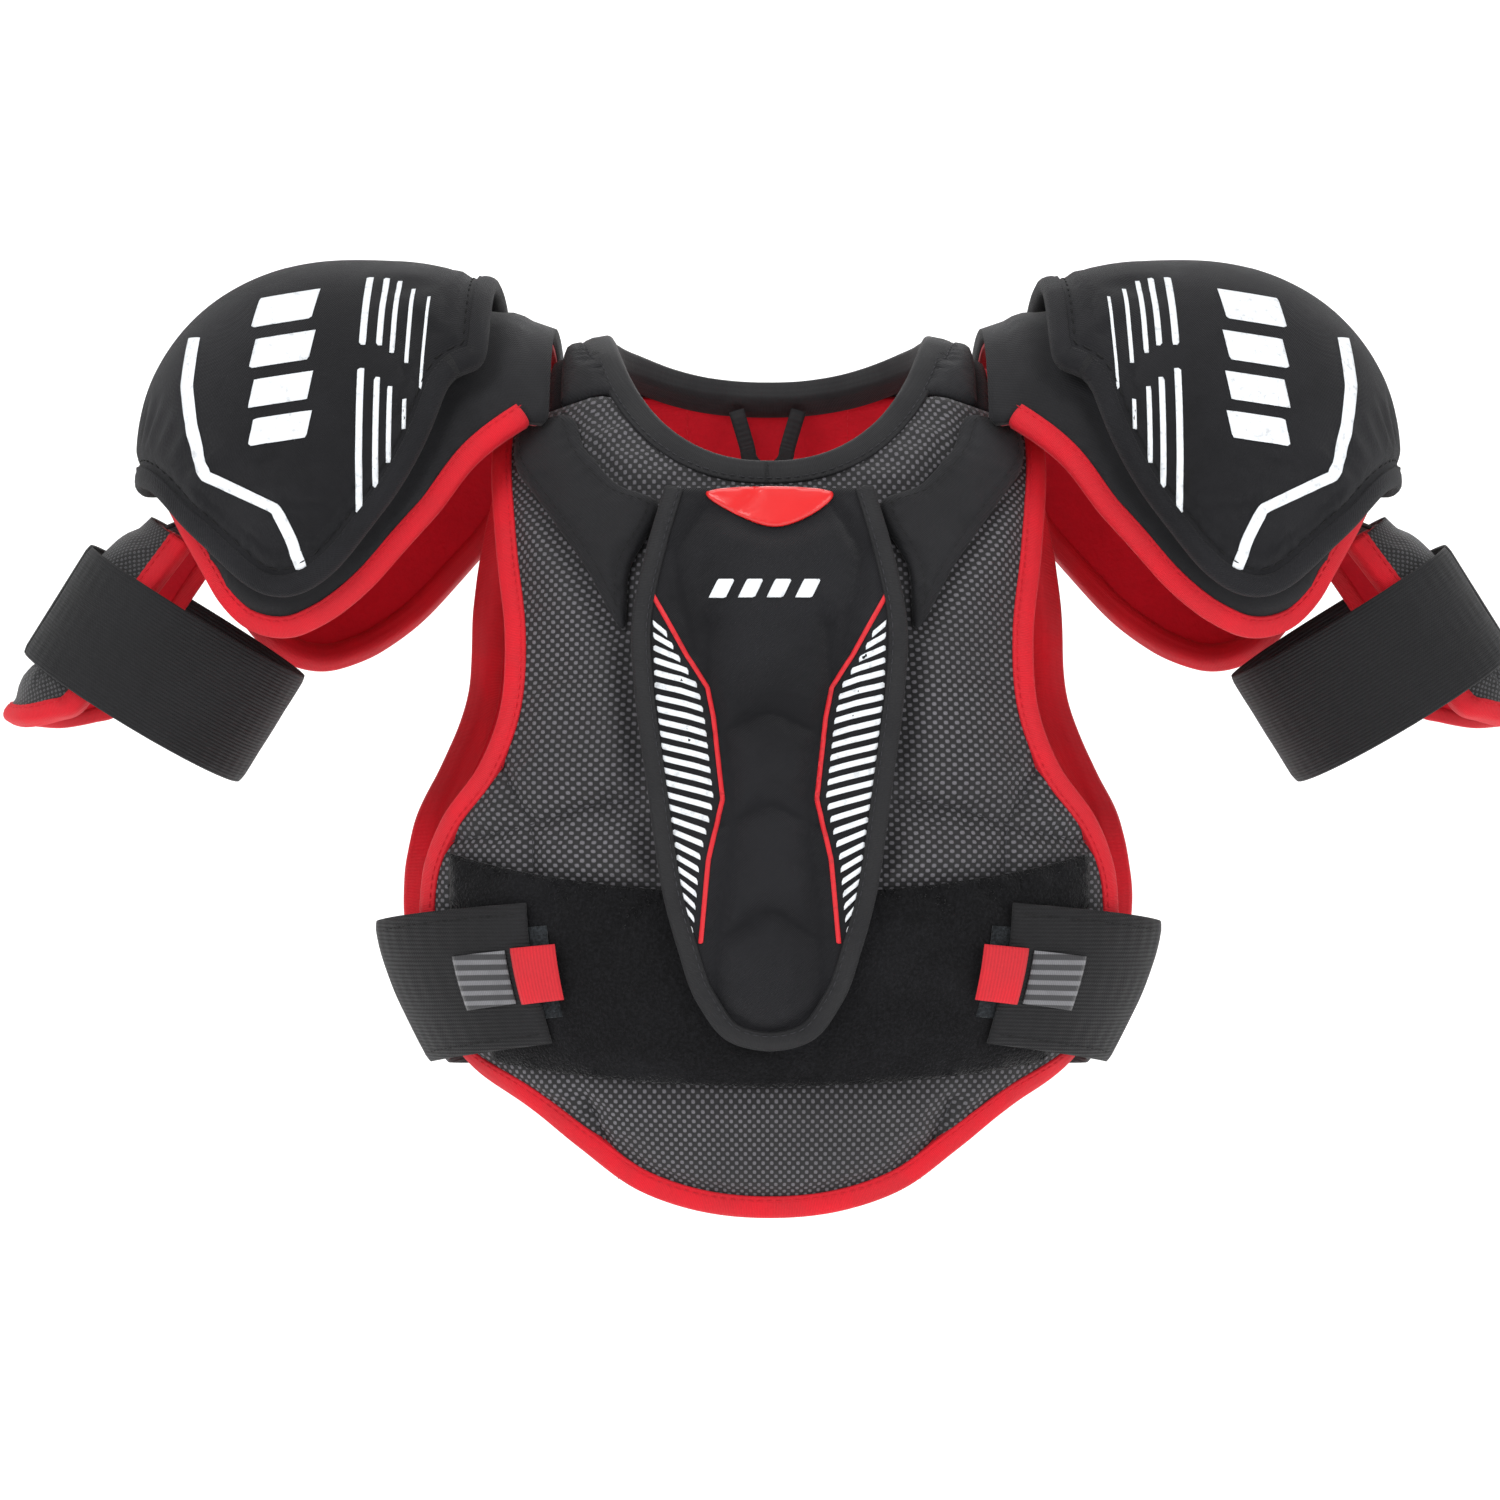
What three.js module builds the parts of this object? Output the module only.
// Ice-hockey shoulder pads, junior size, in the shape they have when worn: chest and back panels, shoulder
// caps, bicep guards and straps.
//
// Frame: millimetres, +X towards the wearer's left, +Y towards the wearer's back, +Z up.
// The origin is the middle of the neck opening, at the height where the pads rest on the shoulders.
//
// Every soft layer lies on one of four forms: the torso, the shoulder, the upper arm and the arm strap's loop.
// A form turns two surface coordinates into a point, and a layer is the space between two distances from it.

import * as THREE from "three";

// ---------------------------------------------------------------- driving dimensions

const GAP = 0.35; // clearance between two layers that touch and share an outline
const REST = 1.0; // clearance under a layer that lies on one of another outline, whose facets differ
const EDGE = 0.8; // clearance between a panel and the binding round it

// Torso form, the inside of the liner: height along the surface, height above the origin, half width,
// depth of the front and depth of the back. It closes over the top of the shoulders.
const TORSO_ROWS = [
  { h: -310, z: -310, half: 96, front: 80, back: 76 },
  { h: -255, z: -255, half: 104, front: 86, back: 82 },
  { h: -200, z: -200, half: 129, front: 89, back: 88 },
  { h: -160, z: -160, half: 132, front: 88, back: 90 },
  { h: -110, z: -110, half: 127, front: 82, back: 91 },
  { h: -70, z: -70, half: 121, front: 73, back: 86 },
  { h: -40, z: -40, half: 116, front: 62, back: 78 },
  { h: -20, z: -20, half: 112, front: 51, back: 70 },
  { h: 0, z: -1, half: 106, front: 36, back: 59 },
  { h: 15, z: 9, half: 101, front: 22, back: 46 },
  { h: 30, z: 13, half: 96, front: 8, back: 28 },
  { h: 45, z: 14, half: 92, front: -6, back: 6 },
];
const TORSO_SQUARENESS = 2.5; // exponent of the superellipse that each level follows
const SHOULDER_SLOPE = 0.4; // drop per millimetre outside SLOPE_START, at the top of the shoulder
const SLOPE_START = 60;

// Layers of the torso, as distances outside the form.
const LINER = 1.5;
const PAD = 7.2; // foam panel with its face fabric
const OVERLAY = 1.4; // loop field
const CLAVICLE_PAD = 4.2;
const BINDING_WIDTH = 8; // how far an edge binding reaches over a panel
const BINDING_PROUD = 1.0; // how far it stands out from both faces
const NOSE = 1.6; // chamfer of a binding's fold
const COLLAR_WIDTH = 9.5;

// Neck opening, at the collar's free edge.
const NECK_HALF = 57;
const NECK_FRONT = -31.5;
const NECK_BACK = 9;
const NECK_SQUARENESS = 2.3;
const PANEL_TOP = { front: -8, back: 8 }; // where the panels end at the shoulder, and the yokes begin

// Yoke, the bridge over each shoulder that joins the panels: distances outwards from the collar, of its own
// outer edge and of its cover's.
const COLLAR_REACH = COLLAR_WIDTH + EDGE;
const YOKE_START = NECK_HALF + COLLAR_REACH + EDGE;
const YOKE = { thick: 4, reach: 18.9, coverReach: 2.9, coverThick: 3.4 };

// Chest panel, finished edge of the right half: distance from the middle and height, from the shoulder down.
const CHEST_EDGE = [
  [94, -8], [94.5, -38], [92, -65], [89, -92], [90.5, -117], [98, -137], [109, -153],
  [115.5, -170], [117, -190], [113, -214], [101, -236], [80, -252], [62, -267], [43, -281], [22, -288],
];
const CHEST_BOTTOM = [0, -290];

// Back panel, finished edge of the right half: the same, but the wings reach round the sides.
const BACK_EDGE = [
  [88, 8], [95, -12], [102, -42], [107, -75], [110, -110], [119, -137], [126.5, -157],
];
// The wings round the sides: degrees from the middle of the back, and height.
const BACK_WING = [[72, -178], [74, -200], [68, -228], [60, -247]];
const BACK_BOTTOM = [[74, -262], [40, -268]];
const BACK_LOW = [0, -270];

// Sternum guard, finished edge of the right half.
const STERNUM_EDGE = [
  [35, -45], [41, -67], [45, -90], [44, -112], [40, -143], [35, -178], [30, -197], [23.5, -215], [13, -228],
];
const STERNUM_BOTTOM = [0, -231];
const STERNUM_BACKING = 1.4;
const STERNUM_PLATE = 2.0;
const STERNUM_COVER = 2.4;
const STERNUM_BINDING_WIDTH = 6.5;
const BADGE = [[-21, -47.5], [21, -47.5], [15, -54.5], [2, -59], [-11, -55]];
const BADGE_THICK = 1.6;

// Spine guard, on the back.
const SPINE_EDGE = [[30, -12], [37, -40], [41, -80], [38, -120], [33, -160], [26, -190], [14, -207]];
const SPINE_TOP = [0, -10];
const SPINE_BOTTOM = [0, -211];
const SPINE_PAD = 3;
const SPINE_PLATE = { thick: 2.5, half: 24, top: -62, bottom: -186, corner: 12 };

// Loop field across the belly.
const FIELD = { top: -179, topRise: 13, bottom: -244, bottomRise: 9, half: 105 };

// Clavicle pad, right half.
const CLAVICLE_EDGE = [
  [38, -47], [51, -41], [62, -28], [68, -14], [82, -15], [85, -30],
  [78, -44], [62, -68], [49, -90], [47, -70],
];

// Belly strap: girth angles in degrees from the middle of the chest, and heights.
const BELLY_STRAP = { width: 46, thick: 1.8, sewn: 119, end: 34, endHeight: -205, sewnHeight: -222 };
// Between the panels the strap lies nearer to the wearer.
const STRAP_SPAN = { from: 66, to: 103, dip: 6 };
const HOOK_TAB = { from: 31.5, to: 39, height: 30, thick: 1.2 };
const LABEL = { from: 37.5, to: 46.5, height: 17, thick: 0.6 };
const PULL_TAB = { from: 30, to: 36.5, height: 18, thick: 1.6 };

// Shoulder form, the inside of the arch's liner: a superellipsoid with a longer half towards the neck.
const SHOULDER = { x: 150, z: -45, lateral: 64, medial: 118, front: 62, back: 81, up: 74, squareness: 2.4 };
const ARCH_LINER = 1.2;
const ARCH_PAD = 5.5;
const CAP_CLEARANCE = 5.0; // between the arch and the cap
const CAP_FOAM = 2.2;
const CAP_SHELL = 1.8;
const CAP_COVER = 1.8;
// Distance from the middle to the seam that joins the arch to the yoke, beyond the yoke's cover.
const ARCH_SEAM = YOKE_START + YOKE.coverReach + 9;
const ARCH_EDGE = [
  [ARCH_SEAM, -13], [98, -27], [115, -49], [136, -72], [151, -84],
  [165, -91], [176, -92], [187, -88], [196, -79], [203, -67],
];
const ARCH_FAR = 83; // how far round the outside the arch and the cap reach, in degrees from straight up
const CAP_MEDIAL = 102;
const CAP_EDGE = [
  [103, 8], [108, -8], [115, -24], [126, -42], [137, -56], [148, -69], [160, -78.5], [171, -82.5], [182, -80],
  [192, -71], [201, -61], [210, -52], [218, -40],
];
const CAP_FAR = 83;
const CAP_FLANGE_WIDTH = 6;

// Upper arm form: the inside of the bicep guard.
const ARM = { x: 218, z: -84, lean: 32, outer: 30, depth: 37 }; // lean: degrees from straight down
const BICEP_WRAP = 77; // degrees to each side of the outermost line
const BICEP_TOP = -28;
const BICEP_END = { middle: 62, rise: 20 }; // the lower edge, which rises towards its corners
const BICEP_LINER = 1.2;
const BICEP_PLATE = 1.4;
const BICEP_COVER = 3.6; // foam with its mesh face
const BICEP_BINDING_WIDTH = 6;
const TUCK = { start: 2, length: 40, outer: 8, depth: 5 }; // how the guard closes in under the cap
// Arm strap: where its middle runs, and the angles at which its tab ends and peels, and where it is sewn on.
const ARM_STRAP = { width: 46, middle: 14, thick: 1.8, tab: -40, peel: 20, sewn: 287 };
const STRAP_FOLD = 1; // degrees left between the strap and its tab
// The strap's loop stands clear of the guard outside and in front, and its middle lies nearer to the body.
const STRAP_LOOP = { outer: ARM.outer + 14.5, depth: ARM.depth + 12, shift: -3 };
const ARM_PATCH = { from: -60, to: -22, low: -6, high: 34, thick: 1.2 };
// Elastic that hangs the guard inside the arch. Its upper end comes nearer to the arm's middle line.
const HANGING_STRIP = { half: 32, from: -44, thick: 1.2, upper: 14 };

// Hanger loop inside the back of the collar: half its width at the top, how much each leg slopes in on the way
// down, and the widths of the leg, of the seam at the top and of the tape at the bottom of the loop.
const HANGER = { half: 15, slope: 5, leg: 6, innerSlope: 3, seam: 5, tape: 6, drop: 26, thick: 1.6, proud: 1 };

// ---------------------------------------------------------------- materials

const colour = (hex, roughness, metalness = 0) => ({ color: hex, roughness, metalness });
const MATERIAL = {
  mesh_fabric: colour(0x4a474b, 0.8),
  black_fabric: colour(0x1b1b1d, 0.9),
  red_lining: colour(0xb3101c, 0.85),
  red_binding: colour(0xd9121f, 0.75),
  black_binding: colour(0x232326, 0.85),
  loop_pile: colour(0x0d0d0f, 1.0),
  elastic: colour(0x1e1e20, 0.9),
  hook_tape: colour(0x2b2f31, 0.8),
  red_webbing: colour(0xd31923, 0.7),
  woven_label: colour(0x6c6a6d, 0.7),
  badge_gel: colour(0xe2231c, 0.35),
  guard_plastic: colour(0xd8d8d4, 0.45),
  foam: colour(0x303033, 0.95),
};

// ---------------------------------------------------------------- forms

const rad = THREE.MathUtils.degToRad;
const clamp = THREE.MathUtils.clamp;
const smooth = (x, low, high) => THREE.MathUtils.smoothstep(x, low, high);

// Value of a named column at height h, on a smooth curve through the rows.
function rowValue(rows, h, key) {
  const last = rows.length - 1;
  let i = 0;
  while (i < last - 1 && h > rows[i + 1].h) {
    i += 1;
  }
  const span = rows[i + 1].h - rows[i].h;
  const t = clamp((h - rows[i].h) / span, 0, 1);
  const slopeAt = (k) => {
    const a = rows[Math.max(k - 1, 0)];
    const b = rows[Math.min(k + 1, last)];
    return (b[key] - a[key]) / (b.h - a.h);
  };
  const [m0, m1] = [slopeAt(i) * span, slopeAt(i + 1) * span];
  const [p0, p1] = [rows[i][key], rows[i + 1][key]];
  const t2 = t * t;
  const t3 = t2 * t;
  return (2 * t3 - 3 * t2 + 1) * p0 + (t3 - 2 * t2 + t) * m0 + (3 * t2 - 2 * t3) * p1 + (t3 - t2) * m1;
}

// A surface of two coordinates, with its outward normal found by small steps.
class Form {
  constructor(surface, outwards) {
    this.surface = surface;
    this.outwards = outwards;
  }

  frame(u, v) {
    const step = 0.02;
    const p = this.surface(u, v);
    const du = this.surface(u + step, v).sub(this.surface(u - step, v)).divideScalar(2 * step);
    const dv = this.surface(u, v + step).sub(this.surface(u, v - step)).divideScalar(2 * step);
    const normal = new THREE.Vector3().crossVectors(du, dv).normalize();
    if (normal.dot(this.outwards(p)) < 0) {
      normal.negate();
    }
    return { p, du, dv, normal };
  }

  at(u, v, distance) {
    const { p, normal } = this.frame(u, v);
    return p.addScaledVector(normal, distance);
  }

  // Surface coordinates of a closed or open line moved sideways by a width in millimetres, towards a point.
  inset(line, width, towards, closed = true) {
    const n = line.length;
    return line.map(([u, v], i) => {
      const before = line[closed ? (i + n - 1) % n : Math.max(i - 1, 0)];
      const after = line[closed ? (i + 1) % n : Math.min(i + 1, n - 1)];
      const { p, du, dv, normal } = this.frame(u, v);
      const along = this.surface(...after).sub(this.surface(...before)).normalize();
      const side = new THREE.Vector3().crossVectors(normal, along).normalize();
      if (side.dot(this.surface(...towards(u, v)).sub(p)) < 0) {
        side.negate();
      }
      const [a, b, c] = [du.dot(du), du.dot(dv), dv.dot(dv)];
      const [e, f] = [du.dot(side) * width, dv.dot(side) * width];
      const det = a * c - b * b;
      return [u + (c * e - b * f) / det, v + (a * f - b * e) / det];
    });
  }
}

// Unit superellipse: sideways and forward shares at an angle.
function superellipse(angle, squareness) {
  const [s, c] = [Math.sin(angle), Math.cos(angle)];
  const r = (Math.abs(s) ** squareness + Math.abs(c) ** squareness) ** (-1 / squareness);
  return [s * r, c * r];
}

// Torso: u is the girth angle in degrees (0 in front, 180 behind) and v the height along the surface.
const torso = new Form(
  (u, h) => {
    const [across, ahead] = superellipse(rad(u), TORSO_SQUARENESS);
    const x = rowValue(TORSO_ROWS, h, "half") * across;
    const y = ahead > 0 ? -rowValue(TORSO_ROWS, h, "front") * ahead : -rowValue(TORSO_ROWS, h, "back") * ahead;
    const slope = SHOULDER_SLOPE * Math.max(0, Math.abs(x) - SLOPE_START) * smooth(h, -60, 10);
    return new THREE.Vector3(x, y, rowValue(TORSO_ROWS, h, "z") - slope);
  },
  (p) => new THREE.Vector3(p.x * 0.2, p.y, p.z > -10 ? 40 : 0),
);

// Girth angle of the point at distance x from the middle, in front or behind.
function girth(x, h, behind = false) {
  const share = clamp(Math.abs(x) / rowValue(TORSO_ROWS, h, "half"), 0, 1);
  const ahead = (1 - share ** TORSO_SQUARENESS) ** (1 / TORSO_SQUARENESS);
  const angle = THREE.MathUtils.radToDeg(Math.atan2(share, ahead));
  return Math.sign(x) * (behind ? 180 - angle : angle);
}
const inFront = ([x, h]) => [girth(x, h), h];
// Behind, angles run on past 180 so that a panel has no jump in the middle.
const behind = ([x, h]) => [180 - Math.sign(x) * (180 - Math.abs(girth(x, h, true))), h];

// Over the shoulders the torso is walked from front to back: x is the distance from the middle, and s the
// distance past the ridge, less than nothing in front of it.
const RIDGE = TORSO_ROWS[TORSO_ROWS.length - 1].h;
const overTop = new Form(
  (x, s) => {
    const h = RIDGE - Math.abs(s);
    return torso.surface(s < 0 ? girth(x, h) : behind([x, h])[0], h);
  },
  () => new THREE.Vector3(0, 0, 1),
);

// Distance of the superellipsoid from its centre, along a direction.
function shoulderRadius(d) {
  const q = SHOULDER.squareness;
  const across = d.x < 0 ? SHOULDER.medial : SHOULDER.lateral;
  const deep = d.y < 0 ? SHOULDER.front : SHOULDER.back;
  const shares = [Math.abs(d.x) / across, Math.abs(d.y) / deep, Math.abs(d.z) / SHOULDER.up];
  return shares.reduce((total, share) => total + share ** q, 0) ** (-1 / q);
}
const SHOULDER_CENTRE = new THREE.Vector3(SHOULDER.x, 0, SHOULDER.z);

// Shoulder, left side of the wearer: u and v are degrees away from straight up, outwards and forwards.
const shoulder = new Form(
  (u, v) => {
    const tilt = rad(Math.hypot(u, v));
    const side = tilt > 1e-9 ? Math.sin(tilt) / Math.hypot(u, v) : rad(1);
    const d = new THREE.Vector3(u * side, -v * side, Math.cos(tilt));
    return d.multiplyScalar(shoulderRadius(d)).add(SHOULDER_CENTRE);
  },
  (p) => p.clone().sub(SHOULDER_CENTRE),
);

// Surface coordinates of the point on the front of the shoulder form, moved out by lift, seen at x and z.
function onShoulder(x, z, lift = 0) {
  const [dx, dz] = [x - SHOULDER.x, z - SHOULDER.z];
  const grow = (r) => r + lift;
  const q = SHOULDER.squareness;
  const across = grow(dx < 0 ? SHOULDER.medial : SHOULDER.lateral);
  const left = 1 - (Math.abs(dx) / across) ** q - (Math.abs(dz) / grow(SHOULDER.up)) ** q;
  const dy = grow(SHOULDER.front) * Math.max(left, 0) ** (1 / q);
  const flat = Math.hypot(dx, dy);
  const tilt = THREE.MathUtils.radToDeg(Math.atan2(flat, dz));
  return [(dx / flat) * tilt, (dy / flat) * tilt];
}

// Upper arm frame: along the arm, outwards and forwards.
const ALONG = new THREE.Vector3(Math.sin(rad(ARM.lean)), 0, -Math.cos(rad(ARM.lean)));
const OUTWARDS = new THREE.Vector3(Math.cos(rad(ARM.lean)), 0, Math.sin(rad(ARM.lean)));
const FORWARDS = new THREE.Vector3(0, -1, 0);
const ARM_CENTRE = new THREE.Vector3(ARM.x, 0, ARM.z);

function armPoint(angle, t, outer, depth, shift = 0) {
  return ARM_CENTRE.clone()
    .addScaledVector(ALONG, t)
    .addScaledVector(OUTWARDS, outer * Math.cos(rad(angle)) + shift)
    .addScaledVector(FORWARDS, depth * Math.sin(rad(angle)));
}
const awayFromArm = (p) => {
  const from = p.clone().sub(ARM_CENTRE);
  return from.addScaledVector(ALONG, -from.dot(ALONG));
};
// u is the angle round the arm in degrees (0 outermost, 90 in front), v the distance along it.
const arm = new Form((u, t) => {
  const tuck = smooth(TUCK.start - t, 0, TUCK.length);
  return armPoint(u, t, ARM.outer - TUCK.outer * tuck, ARM.depth - TUCK.depth * tuck);
}, awayFromArm);
const strapLoop = new Form(
  (u, t) => armPoint(u, t, STRAP_LOOP.outer, STRAP_LOOP.depth, STRAP_LOOP.shift),
  awayFromArm,
);

// ---------------------------------------------------------------- solids

// A closed mesh from points and faces, turned to face out.
function closedMesh(points, faces) {
  let volume = 0;
  for (const [a, b, c] of faces) {
    volume += points[a].dot(new THREE.Vector3().crossVectors(points[b], points[c]));
  }
  const index = volume < 0 ? faces.map(([a, b, c]) => [a, c, b]) : faces;
  const geometry = new THREE.BufferGeometry().setFromPoints(points);
  geometry.setIndex(index.flat());
  geometry.computeVertexNormals();
  return geometry;
}

// Evenly spaced surface coordinates along the smooth line through the given ones.
function smoothLine(line, count, closed = false, tension = 0.5) {
  const curve = new THREE.CatmullRomCurve3(
    line.map(([u, v]) => new THREE.Vector3(u, v, 0)), closed, "centripetal", tension,
  );
  const steps = closed ? count : count - 1;
  return Array.from({ length: count }, (_, i) => curve.getPointAt(i / steps)).map((p) => [p.x, p.y]);
}

// A pad: the outline's inside, in rings round a middle point, between two distances. It may be crowned.
function pad(form, outline, middle, inner, outer, { rings = 3, crown = 0 } = {}) {
  const count = outline.length;
  const points = [];
  for (const top of [false, true]) {
    for (let r = rings; r >= 1; r -= 1) {
      const share = r / rings;
      const lift = top ? outer + crown * (1 - share ** 3) : inner;
      for (const [u, v] of outline) {
        points.push(form.at(middle[0] + (u - middle[0]) * share, middle[1] + (v - middle[1]) * share, lift));
      }
    }
    points.push(form.at(...middle, top ? outer + crown : inner));
  }
  const faces = [];
  const half = rings * count + 1;
  for (let i = 0; i < count; i += 1) {
    const next = (i + 1) % count;
    for (let r = 0; r < rings - 1; r += 1) {
      const [a, b, c, d] = [r * count + i, r * count + next, (r + 1) * count + i, (r + 1) * count + next];
      faces.push([a, b, d], [a, d, c], [half + a, half + d, half + b], [half + a, half + c, half + d]);
    }
    const a = (rings - 1) * count + i;
    const b = (rings - 1) * count + next;
    faces.push([a, b, half - 1], [half + a, 2 * half - 1, half + b]);
    faces.push([next, i, half + i], [next, half + i, half + next]);
  }
  return closedMesh(points, faces);
}

// A band: a grid from u0 to u1 and across low(u) to high(u), between two distances, which may follow u.
function band(form, u0, u1, low, high, inner, outer, { along = 8, across = 2 } = {}) {
  const points = [];
  const value = (d, u) => (typeof d === "function" ? d(u) : d);
  for (const distance of [inner, outer]) {
    for (let i = 0; i <= along; i += 1) {
      const u = u0 + ((u1 - u0) * i) / along;
      for (let j = 0; j <= across; j += 1) {
        const v = low(u) + ((high(u) - low(u)) * j) / across;
        points.push(form.at(u, v, value(distance, u)));
      }
    }
  }
  const row = across + 1;
  const half = row * (along + 1);
  const faces = [];
  for (let i = 0; i < along; i += 1) {
    for (let j = 0; j < across; j += 1) {
      const [a, b, c, d] = [i * row + j, i * row + j + 1, (i + 1) * row + j, (i + 1) * row + j + 1];
      faces.push([a, b, d], [a, d, c], [half + a, half + d, half + b], [half + a, half + c, half + d]);
    }
  }
  const rim = [];
  for (let i = 0; i < along; i += 1) {
    rim.push([i * row, (i + 1) * row], [(i + 1) * row + across, i * row + across]);
  }
  for (let j = 0; j < across; j += 1) {
    rim.push([along * row + j, along * row + j + 1], [j + 1, j]);
  }
  for (const [a, b] of rim) {
    faces.push([a, b, half + b], [a, half + b, half + a]);
  }
  return closedMesh(points, faces);
}

// A binding: a folded strip along a line, from its free edge inwards, round both faces of a panel.
function binding(form, line, width, inner, outer, towards, closed = false) {
  const section = [
    [width, inner], [NOSE, inner], [0, inner + NOSE], [0, outer - NOSE], [NOSE, outer], [width, outer],
  ];
  const moved = new Map([0, NOSE, width].map((w) => [w, w ? form.inset(line, w, towards, closed) : line]));
  const points = [];
  line.forEach((_, i) => {
    for (const [w, distance] of section) {
      points.push(form.at(...moved.get(w)[i], distance));
    }
  });
  const sides = section.length;
  const faces = [];
  const steps = closed ? line.length : line.length - 1;
  for (let i = 0; i < steps; i += 1) {
    const next = (i + 1) % line.length;
    for (let k = 0; k < sides; k += 1) {
      const [a, b] = [i * sides + k, i * sides + ((k + 1) % sides)];
      const [c, d] = [next * sides + k, next * sides + ((k + 1) % sides)];
      faces.push([a, b, d], [a, d, c]);
    }
  }
  if (!closed) {
    const last = (line.length - 1) * sides;
    for (let k = 1; k < sides - 1; k += 1) {
      faces.push([0, k + 1, k], [last, last + k, last + k + 1]);
    }
  }
  return closedMesh(points, faces);
}

// ---------------------------------------------------------------- assembly helpers

const pads = new THREE.Group();

function add(name, geometry, material) {
  const mesh = new THREE.Mesh(geometry, new THREE.MeshStandardMaterial(MATERIAL[material]));
  mesh.name = name;
  pads.add(mesh);
}

// The same piece on both sides of the wearer: made for the left side, and mirrored for the right.
function addPair(name, geometry, material) {
  add(`left_${name}`, geometry, material);
  const mirrored = geometry.clone();
  mirrored.scale(-1, 1, 1);
  const index = Array.from(mirrored.index.array);
  for (let i = 0; i < index.length; i += 3) {
    [index[i + 1], index[i + 2]] = [index[i + 2], index[i + 1]];
  }
  mirrored.setIndex(index);
  add(`right_${name}`, mirrored, material);
}

// A line and its mirror image, as one line. Girth angles are mirrored about the angle of the middle.
const bothHalves = (half, middle, centre = 0) => [
  ...half,
  middle,
  ...half.slice().reverse().map(([u, v]) => [2 * centre - u, v]),
];

// ---------------------------------------------------------------- chest and back

const PAD_IN = LINER + GAP;
const PAD_OUT = PAD_IN + PAD;
const ON_PAD = PAD_OUT + REST;

// Where a panel's edge meets the collar on its way down from the shoulder, as shares of the way round.
const UNDER_COLLAR = [0.84, 0.64, 0.42, 0.2];
const CORNER_CLEARANCE = 0.5; // sideways, between the collar and the panel's corner at the shoulder
const SHORTEST_STEP = 1; // a share nearer than this to the end of the panel is left out

// Neckline over the top: share runs from 0 in the middle of the front to 2 in the middle of the back.
function neckline(share, extra = 0) {
  const [across, ahead] = superellipse((share * Math.PI) / 2, NECK_SQUARENESS);
  const reach = ahead > 0 ? RIDGE - NECK_FRONT : RIDGE - NECK_BACK;
  return [(NECK_HALF + extra) * across, -(reach + extra) * ahead];
}

// The panel's edge under the collar, from one shoulder to the other, at or below the height where it ends.
function underCollar(top, isBack) {
  const onPanel = (share) => {
    const [x, s] = neckline(isBack ? 2 - share : share, COLLAR_REACH);
    return [x, RIDGE - Math.abs(s)];
  };
  const half = UNDER_COLLAR.map(onPanel).filter(([, h]) => h < top - SHORTEST_STEP);
  return bothHalves([[NECK_HALF + COLLAR_REACH + CORNER_CLEARANCE, top], ...half], onPanel(0));
}

// A panel of the torso: its pad, its lining and the binding round its finished edge.
function panel(name, edge, middle, top, toForm) {
  const finer = smoothLine(edge, 31);
  const inner = torso.inset(finer, BINDING_WIDTH + EDGE, () => middle, false);
  const outline = [...inner, ...underCollar(top, toForm === behind).reverse().map(toForm)];
  add(`${name}_pad`, pad(torso, outline, middle, PAD_IN, PAD_OUT, { rings: 4 }), "mesh_fabric");
  add(`${name}_liner`, pad(torso, outline, middle, 0, LINER, { rings: 4 }), "red_lining");
  const fold = binding(torso, finer, BINDING_WIDTH, -BINDING_PROUD, PAD_OUT + BINDING_PROUD, () => middle);
  add(`${name}_binding`, fold, "red_binding");
}

const chestEdge = bothHalves(CHEST_EDGE.map(inFront), inFront(CHEST_BOTTOM));
panel("chest", chestEdge, [0, -150], PANEL_TOP.front, inFront);

const backHalf = [
  ...BACK_EDGE.map(behind),
  ...BACK_WING.map(([angle, h]) => [180 - angle, h]),
  ...BACK_BOTTOM.map(behind),
];
panel("back", bothHalves(backHalf, behind(BACK_LOW), 180), [180, -140], PANEL_TOP.back, behind);

// The collar binding closes the neck opening.
const COLLAR_STEPS = 36;
const collarLine = Array.from({ length: COLLAR_STEPS }, (_, i) => neckline((4 * i) / COLLAR_STEPS));
const collar = binding(
  overTop, collarLine, COLLAR_WIDTH, -BINDING_PROUD, PAD_OUT + BINDING_PROUD,
  (x, s) => [x * 1.2, s * 1.2], true,
);
add("collar_binding", collar, "black_binding");

// Yokes: the bridges over the shoulders, each with a padded cover between the collar and the arch seam.
const yokeFront = PANEL_TOP.front + REST - RIDGE;
const yokeBack = RIDGE - PANEL_TOP.back - REST;
const yoke = (reach, inside, outside) => band(
  new Form((s, x) => overTop.surface(x, s), overTop.outwards), yokeFront, yokeBack,
  () => YOKE_START, () => YOKE_START + reach, inside, outside, { along: 10, across: 2 },
);
addPair("yoke_liner", yoke(YOKE.reach, 0, YOKE.thick), "red_lining");
addPair("yoke_cover", yoke(YOKE.coverReach, YOKE.thick + GAP, PAD_OUT + YOKE.coverThick), "black_fabric");

// ---------------------------------------------------------------- on the chest

const FIELD_OUT = ON_PAD + OVERLAY;
const fieldTurn = girth(FIELD.half, FIELD.top);
const fieldArc = (u, low, rise) => low + rise * (Math.abs(u) / fieldTurn) ** 2;
const loopField = band(
  torso, -fieldTurn, fieldTurn,
  (u) => fieldArc(u, FIELD.bottom, FIELD.bottomRise),
  (u) => fieldArc(u, FIELD.top, FIELD.topRise),
  ON_PAD, FIELD_OUT, { along: 20, across: 3 },
);
add("belly_loop_field", loopField, "loop_pile");

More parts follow.
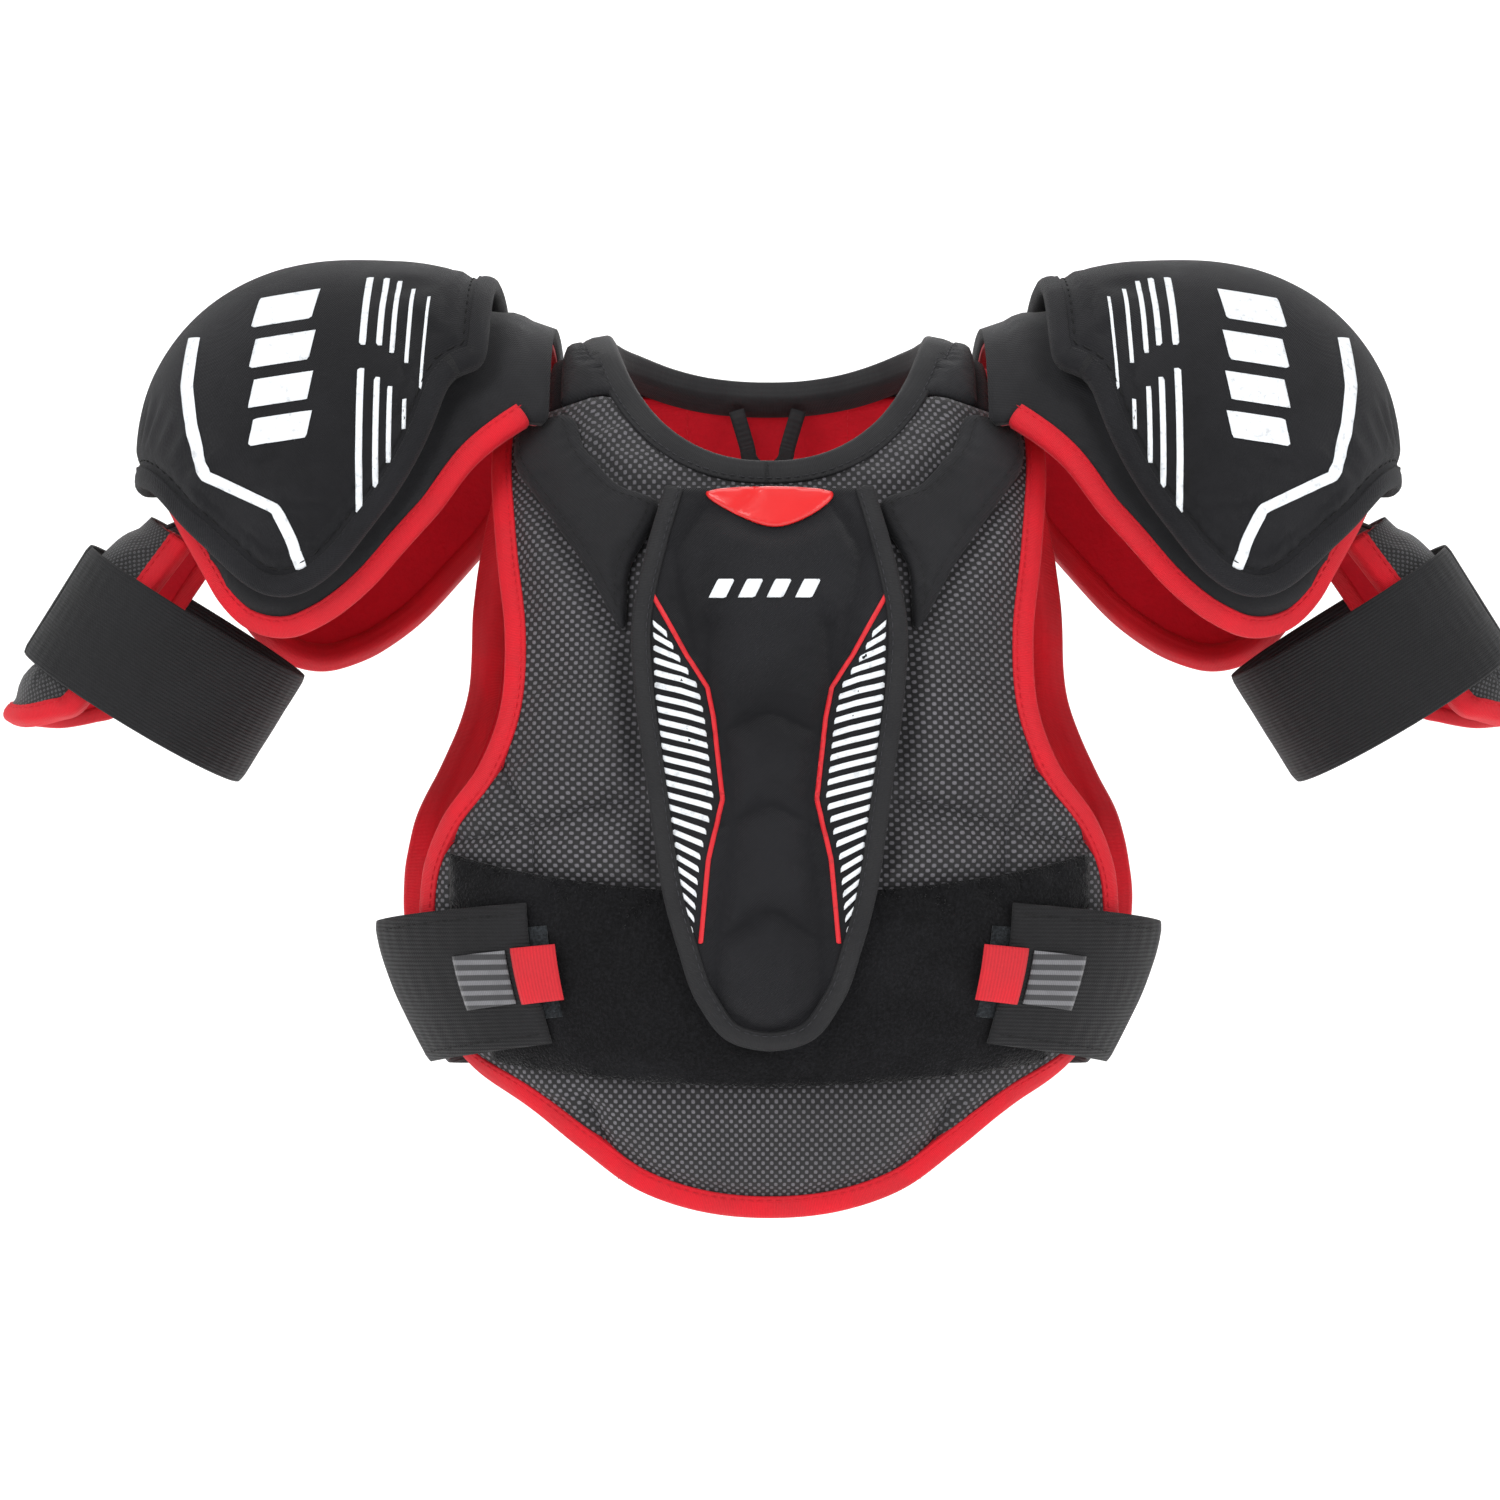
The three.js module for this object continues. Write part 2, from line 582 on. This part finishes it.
const clavicleMiddle = inFront([66, -42]);
const clavicleOutline = CLAVICLE_EDGE.map(inFront);
const clavicle = pad(
  torso, smoothLine(clavicleOutline, 20, true), clavicleMiddle, ON_PAD, ON_PAD + CLAVICLE_PAD, { rings: 2 },
);
addPair("clavicle_pad", clavicle, "black_fabric");

// Sternum guard: backing, plate, cover, binding and badge.
const STERNUM_IN = FIELD_OUT + REST;
const PLATE_IN = STERNUM_IN + STERNUM_BACKING + GAP;
const COVER_IN = PLATE_IN + STERNUM_PLATE + GAP;
const COVER_OUT = COVER_IN + STERNUM_COVER;
const sternumMiddle = [0, -135];
const sternumEdge = smoothLine(bothHalves(STERNUM_EDGE.map(inFront), inFront(STERNUM_BOTTOM)), 25);
const sternumInside = torso.inset(sternumEdge, STERNUM_BINDING_WIDTH + EDGE, () => sternumMiddle, false);
const sternumPad = (inner, outer) => pad(torso, sternumInside, sternumMiddle, inner, outer, { rings: 2 });
add("sternum_backing", sternumPad(STERNUM_IN, STERNUM_IN + STERNUM_BACKING), "black_fabric");
add("sternum_plate", sternumPad(PLATE_IN, PLATE_IN + STERNUM_PLATE), "guard_plastic");
add("sternum_cover", sternumPad(COVER_IN, COVER_OUT), "black_fabric");
const sternumFold = binding(
  torso, sternumEdge, STERNUM_BINDING_WIDTH, STERNUM_IN, COVER_OUT + BINDING_PROUD, () => sternumMiddle,
);
add("sternum_binding", sternumFold, "black_binding");
const badgeIn = COVER_OUT + GAP;
const badge = pad(torso, BADGE.map(inFront), [0, -51], badgeIn, badgeIn + BADGE_THICK, { rings: 1 });
add("sternum_badge", badge, "badge_gel");

// ---------------------------------------------------------------- on the back

const spineMiddle = [180, -110];
const SPINE_IN = ON_PAD + REST;
const spineOutline = smoothLine(
  [behind(SPINE_TOP), ...bothHalves(SPINE_EDGE.map(behind), behind(SPINE_BOTTOM), 180)], 24, true,
);
add("spine_pad", pad(torso, spineOutline, spineMiddle, SPINE_IN, SPINE_IN + SPINE_PAD), "black_fabric");

// The spine plate is flat, and is what the pads lie on when they are laid on their back.
const deepest = Math.max(...TORSO_ROWS.map((row) => row.back));
const plateShape = new THREE.Shape();
plateShape.moveTo(-SPINE_PLATE.half + SPINE_PLATE.corner, SPINE_PLATE.bottom);
const plateCorners = [
  [SPINE_PLATE.half, SPINE_PLATE.bottom], [SPINE_PLATE.half, SPINE_PLATE.top],
  [-SPINE_PLATE.half, SPINE_PLATE.top], [-SPINE_PLATE.half, SPINE_PLATE.bottom],
];
plateCorners.forEach(([x, z], i) => {
  const [nextX, nextZ] = plateCorners[(i + 1) % 4];
  const [prevX, prevZ] = plateCorners[(i + 3) % 4];
  const c = SPINE_PLATE.corner;
  plateShape.lineTo(x - Math.sign(x - prevX) * c, z - Math.sign(z - prevZ) * c);
  plateShape.quadraticCurveTo(x, z, x + Math.sign(nextX - x) * c, z + Math.sign(nextZ - z) * c);
});
const plate = new THREE.ExtrudeGeometry(plateShape, {
  depth: SPINE_PLATE.thick, bevelEnabled: false, curveSegments: 4,
});
plate.rotateX(Math.PI / 2);
plate.translate(0, deepest + SPINE_IN + SPINE_PAD + GAP + SPINE_PLATE.thick, 0);
add("spine_plate", plate, "guard_plastic");

// Hanger loop: a tape folded to a U, sewn inside the back of the collar.
const hangerTop = torso.at(180, NECK_BACK - HANGER.seam, -BINDING_PROUD - GAP);
// A four-sided outline, wider above than below.
const tapered = (above, below, high, low) => [[-above, high], [-below, low], [below, low], [above, high]]
  .map(([x, z]) => new THREE.Vector2(x, z));
const insideTop = HANGER.half - HANGER.leg;
const loopShape = new THREE.Shape(tapered(HANGER.half, HANGER.half - HANGER.slope, 0, -HANGER.drop));
loopShape.holes.push(new THREE.Path(
  tapered(insideTop, insideTop - HANGER.innerSlope, -HANGER.seam, -HANGER.drop + HANGER.tape),
));
const hanger = new THREE.ExtrudeGeometry(loopShape, { depth: HANGER.thick, bevelEnabled: false });
hanger.rotateX(Math.PI / 2);
hanger.translate(0, hangerTop.y - HANGER.proud, hangerTop.z);
add("hanger_loop", hanger, "black_binding");

// ---------------------------------------------------------------- shoulders

const ARCH_IN = ARCH_LINER + GAP;
const ARCH_OUT = ARCH_IN + ARCH_PAD;
const CAP_IN = ARCH_OUT + CAP_CLEARANCE;
const SHELL_IN = CAP_IN + CAP_FOAM + GAP;
const CAP_COVER_IN = SHELL_IN + CAP_SHELL + GAP;
const CAP_OUT = CAP_COVER_IN + CAP_COVER;

// The line over the top of the shoulder at a distance from the wearer's middle, from the back to the front.
function acrossTop(x, reach, count) {
  return Array.from({ length: count }, (_, i) => {
    const v = -reach + (2 * reach * (i + 1)) / (count + 1);
    let [low, high] = [-150, 150];
    for (let k = 0; k < 40; k += 1) {
      const u = (low + high) / 2;
      [low, high] = shoulder.surface(u, v).x < x ? [u, high] : [low, u];
    }
    return [low, v];
  });
}

// An outline that is the same in front and behind: the front edge from the neck outwards, and the far end.
function shoulderOutline(edge, lift, far, medial, count) {
  const front = edge.map(([x, z]) => onShoulder(x, z, lift));
  const line = [...front, far, ...front.slice().reverse().map(([u, v]) => [u, -v])];
  return { line: smoothLine(line, count), top: acrossTop(medial, front[0][1], 5) };
}

const top = [0, 0]; // straight up from the middle of the shoulder form

const arch = shoulderOutline(ARCH_EDGE, ARCH_OUT, [ARCH_FAR, 0], ARCH_SEAM, 23);
const archInside = shoulder.inset(arch.line, BINDING_WIDTH + EDGE, () => top, false);
const archPad = (inner, outer) => pad(shoulder, [...archInside, ...arch.top], top, inner, outer, { rings: 4 });
addPair("arch_liner", archPad(0, ARCH_LINER), "red_lining");
addPair("arch_pad", archPad(ARCH_IN, ARCH_OUT), "black_fabric");
const archFold = binding(
  shoulder, arch.line, BINDING_WIDTH, -BINDING_PROUD, ARCH_OUT + BINDING_PROUD, () => top,
);
addPair("arch_binding", archFold, "red_binding");

const cap = shoulderOutline(CAP_EDGE, CAP_OUT, [CAP_FAR, 0], CAP_MEDIAL, 23);
const capLine = [...cap.line, ...cap.top];
const capInside = shoulder.inset(capLine, CAP_FLANGE_WIDTH + EDGE, () => top);
const capPad = (inner, outer) => pad(shoulder, capInside, top, inner, outer, { rings: 4 });
addPair("cap_foam", capPad(CAP_IN, CAP_IN + CAP_FOAM), "foam");
addPair("cap_shell", capPad(SHELL_IN, SHELL_IN + CAP_SHELL), "guard_plastic");
addPair("cap_cover", capPad(CAP_COVER_IN, CAP_OUT), "black_fabric");
const capFold = binding(shoulder, capLine, CAP_FLANGE_WIDTH, CAP_IN, CAP_OUT, () => top, true);
addPair("cap_binding", capFold, "black_binding");

// ---------------------------------------------------------------- biceps

const bicepEnd = (u) => BICEP_END.middle - BICEP_END.rise * (Math.abs(u) / BICEP_WRAP) ** 3;
// Layers of the guard, from the lining out.
const BICEP_LAYERS = [
  ["bicep_liner", BICEP_LINER, "red_lining"],
  ["bicep_plate", BICEP_PLATE, "guard_plastic"],
  ["bicep_cover", BICEP_COVER, "mesh_fabric"],
];
const bicepMiddle = [0, 16];
const insideEdge = BICEP_BINDING_WIDTH + 2 * EDGE;
const insideWrap = BICEP_WRAP - THREE.MathUtils.radToDeg(insideEdge / (ARM.outer - TUCK.outer)) - 1;
let bicepOut = 0;
for (const [name, thick, material] of BICEP_LAYERS) {
  const layer = band(
    arm, -insideWrap, insideWrap, () => BICEP_TOP, (u) => bicepEnd(u) - insideEdge - EDGE,
    bicepOut, bicepOut + thick, { along: 10, across: 4 },
  );
  addPair(name, layer, material);
  bicepOut += thick + GAP;
}
bicepOut -= GAP;
const halfEdge = [
  [BICEP_WRAP, BICEP_TOP], [BICEP_WRAP, 10], ...[1, 0.85, 0.6, 0.3].map((share) => {
    const u = BICEP_WRAP * share;
    return [u, bicepEnd(u)];
  }),
];
const bicepLine = smoothLine(
  [...halfEdge, [0, bicepEnd(0)], ...halfEdge.slice().reverse().map(([u, t]) => [-u, t])], 27,
);
const bicepFold = binding(
  arm, bicepLine, BICEP_BINDING_WIDTH, -BINDING_PROUD / 2, bicepOut + BINDING_PROUD / 2, () => bicepMiddle,
);
addPair("bicep_binding", bicepFold, "red_binding");

// The strip leads up from the lining's top edge to the inside of the arch.
const armLengthways = new Form((t, u) => arm.surface(u, t), awayFromArm);
const stripDepth = (t) => {
  const share = (BICEP_TOP - t) / (BICEP_TOP - HANGING_STRIP.from);
  return (HANGING_STRIP.upper - (ARM.outer - TUCK.outer)) * share;
};
const hangingStrip = band(
  armLengthways, HANGING_STRIP.from, BICEP_TOP - EDGE, () => -HANGING_STRIP.half, () => HANGING_STRIP.half,
  stripDepth, (t) => stripDepth(t) + HANGING_STRIP.thick, { along: 3, across: 4 },
);
addPair("bicep_hanging_strip", hangingStrip, "elastic");

// Arm strap: sewn to the back edge of the guard, round the inside of the arm and over the front, with a tab
// that peels off the loop patch on the outside.
const patchIn = bicepOut + REST;
const patch = band(
  arm, ARM_PATCH.from, ARM_PATCH.to, () => ARM_PATCH.low, () => ARM_PATCH.high,
  patchIn, patchIn + ARM_PATCH.thick, { along: 5, across: 1 },
);
addPair("arm_loop_patch", patch, "loop_pile");
const strapLow = () => ARM_STRAP.middle - ARM_STRAP.width / 2;
const strapHigh = () => ARM_STRAP.middle + ARM_STRAP.width / 2;
const strap = (from, to, along) => band(
  strapLoop, from, to, strapLow, strapHigh, 0, ARM_STRAP.thick, { along, across: 1 },
);
addPair("arm_strap", strap(ARM_STRAP.peel + STRAP_FOLD, ARM_STRAP.sewn, 20), "elastic");
addPair("arm_strap_tab", strap(ARM_STRAP.tab, ARM_STRAP.peel, 5), "hook_tape");

// ---------------------------------------------------------------- belly straps

const HOOK_IN = FIELD_OUT + REST;
const STRAP_IN = HOOK_IN + HOOK_TAB.thick + REST / 2;
const STRAP_OUT = STRAP_IN + BELLY_STRAP.thick;
const strapSlope = (BELLY_STRAP.sewnHeight - BELLY_STRAP.endHeight) / (BELLY_STRAP.sewn - BELLY_STRAP.end);
const strapMiddle = (u) => BELLY_STRAP.endHeight + strapSlope * (u - BELLY_STRAP.end);
// A strip along the strap.
const alongStrap = (from, to, height, inner, outer, along, across = 2) => band(
  torso, from, to, (u) => strapMiddle(u) - height / 2, (u) => strapMiddle(u) + height / 2, inner, outer,
  { along, across },
);
// The strap dips between the panels, and comes down to the back panel where it is sewn on.
const strapIn = (u) => {
  const between = clamp((u - STRAP_SPAN.from) / (STRAP_SPAN.to - STRAP_SPAN.from), 0, 1);
  const down = smooth(u, STRAP_SPAN.from, STRAP_SPAN.to);
  return STRAP_IN + (ON_PAD + REST - STRAP_IN) * down - STRAP_SPAN.dip * Math.sin(Math.PI * between) ** 2;
};
const bellyStrap = alongStrap(
  BELLY_STRAP.end, BELLY_STRAP.sewn, BELLY_STRAP.width, strapIn, (u) => strapIn(u) + BELLY_STRAP.thick, 17, 3,
);
addPair("belly_strap", bellyStrap, "elastic");
const hookTab = alongStrap(
  HOOK_TAB.from, HOOK_TAB.to, HOOK_TAB.height, HOOK_IN, HOOK_IN + HOOK_TAB.thick, 3, 3,
);
addPair("belly_hook_tab", hookTab, "hook_tape");
const onStrap = STRAP_OUT + GAP;
const label = alongStrap(LABEL.from, LABEL.to, LABEL.height, onStrap, onStrap + LABEL.thick, 4);
addPair("belly_strap_label", label, "woven_label");
const pull = alongStrap(PULL_TAB.from, PULL_TAB.to, PULL_TAB.height, onStrap, onStrap + PULL_TAB.thick, 2);
addPair("belly_pull_tab", pull, "red_webbing");

export default pads;
